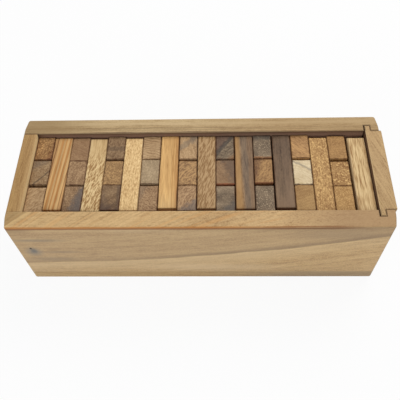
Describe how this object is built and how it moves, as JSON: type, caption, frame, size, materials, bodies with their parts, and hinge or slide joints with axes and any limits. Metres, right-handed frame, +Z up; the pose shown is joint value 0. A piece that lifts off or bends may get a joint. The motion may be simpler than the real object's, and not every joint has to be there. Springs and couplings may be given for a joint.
{
  "type": "stacking block tower game box",
  "caption": "Open hardwood box that holds a tower of loose wooden blocks on its side; one end panel slides up on tongues in the sides.",
  "frame": {"origin": "centre of the underside of the whole box, on the surface that it stands on", "axes": "+X along the box from the fixed end to the sliding end, +Y from the front side to the back side, +Z up out of the open top"},
  "size_m": [0.3012, 0.108, 0.0875],
  "materials": {
    "box_wood": "sanded, oiled, satin",
    "pale_wood": "sanded, oiled, satin",
    "golden_wood": "sanded, oiled, satin",
    "orange_wood": "sanded, oiled, satin",
    "tan_wood": "sanded, oiled, satin",
    "brown_wood": "sanded, oiled, satin",
    "grey_wood": "sanded, oiled, satin",
    "dark_wood": "sanded, oiled, satin"
  },
  "bodies": {
    "box": {"front_side": "box_wood", "back_side": "box_wood", "fixed_end": "box_wood", "bottom_board": "box_wood"},
    "sliding_end": {"sliding_end": "box_wood"},
    "block_01_front": {"block_01_front": "tan_wood"},
    "block_01_middle": {"block_01_middle": "grey_wood"},
    "block_01_back": {"block_01_back": "orange_wood"},
    "block_02_low": {"block_02_low": "brown_wood"},
    "block_02_middle": {"block_02_middle": "tan_wood"},
    "block_02_top": {"block_02_top": "orange_wood"},
    "block_03_front": {"block_03_front": "grey_wood"},
    "block_03_middle": {"block_03_middle": "brown_wood"},
    "block_03_back": {"block_03_back": "brown_wood"},
    "block_04_low": {"block_04_low": "orange_wood"},
    "block_04_middle": {"block_04_middle": "golden_wood"},
    "block_04_top": {"block_04_top": "pale_wood"},
    "block_05_front": {"block_05_front": "dark_wood"},
    "block_05_middle": {"block_05_middle": "orange_wood"},
    "block_05_back": {"block_05_back": "brown_wood"},
    "block_06_low": {"block_06_low": "grey_wood"},
    "block_06_middle": {"block_06_middle": "tan_wood"},
    "block_06_top": {"block_06_top": "pale_wood"},
    "block_07_front": {"block_07_front": "brown_wood"},
    "block_07_middle": {"block_07_middle": "grey_wood"},
    "block_07_back": {"block_07_back": "tan_wood"},
    "block_08_low": {"block_08_low": "tan_wood"},
    "block_08_middle": {"block_08_middle": "brown_wood"},
    "block_08_top": {"block_08_top": "golden_wood"},
    "block_09_front": {"block_09_front": "brown_wood"},
    "block_09_middle": {"block_09_middle": "orange_wood"},
    "block_09_back": {"block_09_back": "tan_wood"},
    "block_10_low": {"block_10_low": "pale_wood"},
    "block_10_middle": {"block_10_middle": "orange_wood"},
    "block_10_top": {"block_10_top": "brown_wood"},
    "block_11_front": {"block_11_front": "grey_wood"},
    "block_11_middle": {"block_11_middle": "brown_wood"},
    "block_11_back": {"block_11_back": "dark_wood"},
    "block_12_low": {"block_12_low": "golden_wood"},
    "block_12_middle": {"block_12_middle": "tan_wood"},
    "block_12_top": {"block_12_top": "grey_wood"},
    "block_13_front": {"block_13_front": "grey_wood"},
    "block_13_middle": {"block_13_middle": "orange_wood"},
    "block_13_back": {"block_13_back": "grey_wood"},
    "block_14_low": {"block_14_low": "tan_wood"},
    "block_14_middle": {"block_14_middle": "grey_wood"},
    "block_14_top": {"block_14_top": "dark_wood"},
    "block_15_front": {"block_15_front": "tan_wood"},
    "block_15_middle": {"block_15_middle": "pale_wood"},
    "block_15_back": {"block_15_back": "golden_wood"},
    "block_16_low": {"block_16_low": "brown_wood"},
    "block_16_middle": {"block_16_middle": "pale_wood"},
    "block_16_top": {"block_16_top": "golden_wood"},
    "block_17_front": {"block_17_front": "golden_wood"},
    "block_17_middle": {"block_17_middle": "tan_wood"},
    "block_17_back": {"block_17_back": "golden_wood"},
    "block_18_low": {"block_18_low": "orange_wood"},
    "block_18_middle": {"block_18_middle": "golden_wood"},
    "block_18_top": {"block_18_top": "pale_wood"}
  },
  "joints": [
    {"name": "end_slide", "type": "slide", "parent": "box", "child": "sliding_end", "axis": [0, 0, 1], "range_m": [0, 0.0785]},
    {"name": "lift_01_front", "type": "slide", "parent": "box", "child": "block_01_front", "axis": [0, 0, 1], "range_m": [0, 0.0785]},
    {"name": "lift_01_middle", "type": "slide", "parent": "box", "child": "block_01_middle", "axis": [0, 0, 1], "range_m": [0, 0.0785]},
    {"name": "lift_01_back", "type": "slide", "parent": "box", "child": "block_01_back", "axis": [0, 0, 1], "range_m": [0, 0.0785]},
    {"name": "lift_02_low", "type": "slide", "parent": "box", "child": "block_02_low", "axis": [0, 0, 1], "range_m": [0, 0.0785]},
    {"name": "lift_02_middle", "type": "slide", "parent": "block_02_low", "child": "block_02_middle", "axis": [0, 0, 1], "range_m": [0, 0.0545]},
    {"name": "lift_02_top", "type": "slide", "parent": "block_02_middle", "child": "block_02_top", "axis": [0, 0, 1], "range_m": [0, 0.0305]},
    {"name": "lift_03_front", "type": "slide", "parent": "box", "child": "block_03_front", "axis": [0, 0, 1], "range_m": [0, 0.0785]},
    {"name": "lift_03_middle", "type": "slide", "parent": "box", "child": "block_03_middle", "axis": [0, 0, 1], "range_m": [0, 0.0785]},
    {"name": "lift_03_back", "type": "slide", "parent": "box", "child": "block_03_back", "axis": [0, 0, 1], "range_m": [0, 0.0785]},
    {"name": "lift_04_low", "type": "slide", "parent": "box", "child": "block_04_low", "axis": [0, 0, 1], "range_m": [0, 0.0785]},
    {"name": "lift_04_middle", "type": "slide", "parent": "block_04_low", "child": "block_04_middle", "axis": [0, 0, 1], "range_m": [0, 0.0545]},
    {"name": "lift_04_top", "type": "slide", "parent": "block_04_middle", "child": "block_04_top", "axis": [0, 0, 1], "range_m": [0, 0.0305]},
    {"name": "lift_05_front", "type": "slide", "parent": "box", "child": "block_05_front", "axis": [0, 0, 1], "range_m": [0, 0.0785]},
    {"name": "lift_05_middle", "type": "slide", "parent": "box", "child": "block_05_middle", "axis": [0, 0, 1], "range_m": [0, 0.0785]},
    {"name": "lift_05_back", "type": "slide", "parent": "box", "child": "block_05_back", "axis": [0, 0, 1], "range_m": [0, 0.0785]},
    {"name": "lift_06_low", "type": "slide", "parent": "box", "child": "block_06_low", "axis": [0, 0, 1], "range_m": [0, 0.0785]},
    {"name": "lift_06_middle", "type": "slide", "parent": "block_06_low", "child": "block_06_middle", "axis": [0, 0, 1], "range_m": [0, 0.0545]},
    {"name": "lift_06_top", "type": "slide", "parent": "block_06_middle", "child": "block_06_top", "axis": [0, 0, 1], "range_m": [0, 0.0305]},
    {"name": "lift_07_front", "type": "slide", "parent": "box", "child": "block_07_front", "axis": [0, 0, 1], "range_m": [0, 0.0785]},
    {"name": "lift_07_middle", "type": "slide", "parent": "box", "child": "block_07_middle", "axis": [0, 0, 1], "range_m": [0, 0.0785]},
    {"name": "lift_07_back", "type": "slide", "parent": "box", "child": "block_07_back", "axis": [0, 0, 1], "range_m": [0, 0.0785]},
    {"name": "lift_08_low", "type": "slide", "parent": "box", "child": "block_08_low", "axis": [0, 0, 1], "range_m": [0, 0.0785]},
    {"name": "lift_08_middle", "type": "slide", "parent": "block_08_low", "child": "block_08_middle", "axis": [0, 0, 1], "range_m": [0, 0.0545]},
    {"name": "lift_08_top", "type": "slide", "parent": "block_08_middle", "child": "block_08_top", "axis": [0, 0, 1], "range_m": [0, 0.0305]},
    {"name": "lift_09_front", "type": "slide", "parent": "box", "child": "block_09_front", "axis": [0, 0, 1], "range_m": [0, 0.0785]},
    {"name": "lift_09_middle", "type": "slide", "parent": "box", "child": "block_09_middle", "axis": [0, 0, 1], "range_m": [0, 0.0785]},
    {"name": "lift_09_back", "type": "slide", "parent": "box", "child": "block_09_back", "axis": [0, 0, 1], "range_m": [0, 0.0785]},
    {"name": "lift_10_low", "type": "slide", "parent": "box", "child": "block_10_low", "axis": [0, 0, 1], "range_m": [0, 0.0785]},
    {"name": "lift_10_middle", "type": "slide", "parent": "block_10_low", "child": "block_10_middle", "axis": [0, 0, 1], "range_m": [0, 0.0545]},
    {"name": "lift_10_top", "type": "slide", "parent": "block_10_middle", "child": "block_10_top", "axis": [0, 0, 1], "range_m": [0, 0.0305]},
    {"name": "lift_11_front", "type": "slide", "parent": "box", "child": "block_11_front", "axis": [0, 0, 1], "range_m": [0, 0.0785]},
    {"name": "lift_11_middle", "type": "slide", "parent": "box", "child": "block_11_middle", "axis": [0, 0, 1], "range_m": [0, 0.0785]},
    {"name": "lift_11_back", "type": "slide", "parent": "box", "child": "block_11_back", "axis": [0, 0, 1], "range_m": [0, 0.0785]},
    {"name": "lift_12_low", "type": "slide", "parent": "box", "child": "block_12_low", "axis": [0, 0, 1], "range_m": [0, 0.0785]},
    {"name": "lift_12_middle", "type": "slide", "parent": "block_12_low", "child": "block_12_middle", "axis": [0, 0, 1], "range_m": [0, 0.0545]},
    {"name": "lift_12_top", "type": "slide", "parent": "block_12_middle", "child": "block_12_top", "axis": [0, 0, 1], "range_m": [0, 0.0305]},
    {"name": "lift_13_front", "type": "slide", "parent": "box", "child": "block_13_front", "axis": [0, 0, 1], "range_m": [0, 0.0785]},
    {"name": "lift_13_middle", "type": "slide", "parent": "box", "child": "block_13_middle", "axis": [0, 0, 1], "range_m": [0, 0.0785]},
    {"name": "lift_13_back", "type": "slide", "parent": "box", "child": "block_13_back", "axis": [0, 0, 1], "range_m": [0, 0.0785]},
    {"name": "lift_14_low", "type": "slide", "parent": "box", "child": "block_14_low", "axis": [0, 0, 1], "range_m": [0, 0.0785]},
    {"name": "lift_14_middle", "type": "slide", "parent": "block_14_low", "child": "block_14_middle", "axis": [0, 0, 1], "range_m": [0, 0.0545]},
    {"name": "lift_14_top", "type": "slide", "parent": "block_14_middle", "child": "block_14_top", "axis": [0, 0, 1], "range_m": [0, 0.0305]},
    {"name": "lift_15_front", "type": "slide", "parent": "box", "child": "block_15_front", "axis": [0, 0, 1], "range_m": [0, 0.0785]},
    {"name": "lift_15_middle", "type": "slide", "parent": "box", "child": "block_15_middle", "axis": [0, 0, 1], "range_m": [0, 0.0785]},
    {"name": "lift_15_back", "type": "slide", "parent": "box", "child": "block_15_back", "axis": [0, 0, 1], "range_m": [0, 0.0785]},
    {"name": "lift_16_low", "type": "slide", "parent": "box", "child": "block_16_low", "axis": [0, 0, 1], "range_m": [0, 0.0785]},
    {"name": "lift_16_middle", "type": "slide", "parent": "block_16_low", "child": "block_16_middle", "axis": [0, 0, 1], "range_m": [0, 0.0545]},
    {"name": "lift_16_top", "type": "slide", "parent": "block_16_middle", "child": "block_16_top", "axis": [0, 0, 1], "range_m": [0, 0.0305]},
    {"name": "lift_17_front", "type": "slide", "parent": "box", "child": "block_17_front", "axis": [0, 0, 1], "range_m": [0, 0.0785]},
    {"name": "lift_17_middle", "type": "slide", "parent": "box", "child": "block_17_middle", "axis": [0, 0, 1], "range_m": [0, 0.0785]},
    {"name": "lift_17_back", "type": "slide", "parent": "box", "child": "block_17_back", "axis": [0, 0, 1], "range_m": [0, 0.0785]},
    {"name": "lift_18_low", "type": "slide", "parent": "box", "child": "block_18_low", "axis": [0, 0, 1], "range_m": [0, 0.0785]},
    {"name": "lift_18_middle", "type": "slide", "parent": "block_18_low", "child": "block_18_middle", "axis": [0, 0, 1], "range_m": [0, 0.0545]},
    {"name": "lift_18_top", "type": "slide", "parent": "block_18_middle", "child": "block_18_top", "axis": [0, 0, 1], "range_m": [0, 0.0305]}
  ]
}
